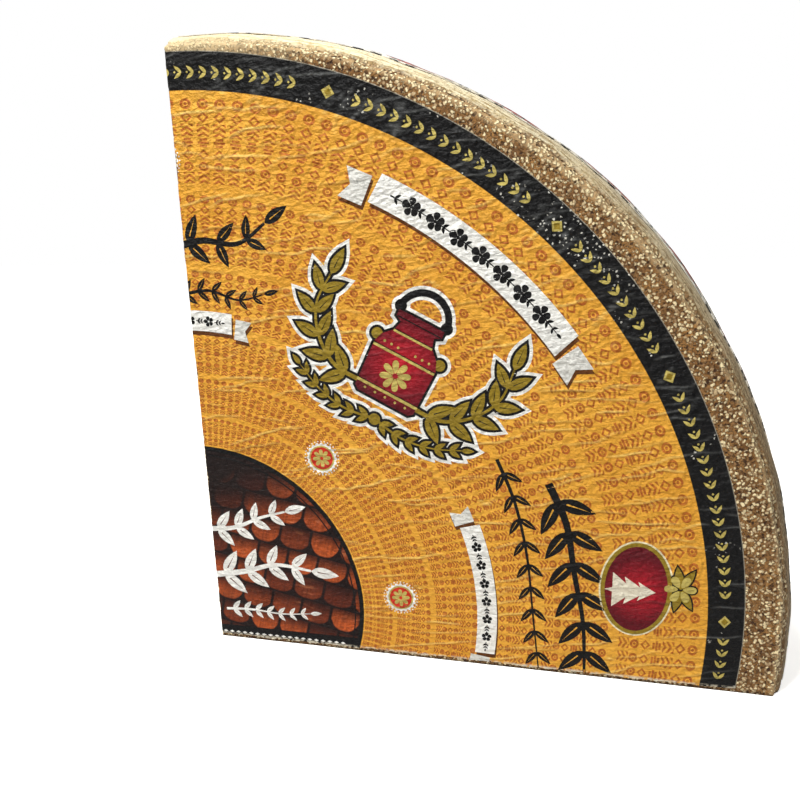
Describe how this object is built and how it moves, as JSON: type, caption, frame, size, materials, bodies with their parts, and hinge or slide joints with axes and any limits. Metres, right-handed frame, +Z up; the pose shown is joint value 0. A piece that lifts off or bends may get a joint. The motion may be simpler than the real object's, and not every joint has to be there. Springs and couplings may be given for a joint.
{
  "type": "comte cheese",
  "caption": "Quarter of a large pressed cheese wheel standing on its cut, with a printed paper label on the face and a printed paper band round the heel.",
  "frame": {"origin": "middle of the footprint, on the surface that the quarter stands on", "axes": "+Z up; the printed face looks along -Y and the plain face along +Y, the wheel's axis runs along Y; the upright cut is at -X and the heel at +X and on top"},
  "size_m": [0.3244, 0.109, 0.3394],
  "materials": {
    "cheese": "matt, grainy brown rind and smooth ivory paste at the cuts",
    "face_label": "wrinkled printed paper with a soft gloss",
    "heel_band": "printed paper stuck to the heel"
  },
  "bodies": {
    "root": {"cheese": "cheese", "face_label": "face_label", "heel_band": "heel_band"}
  },
  "joints": []
}
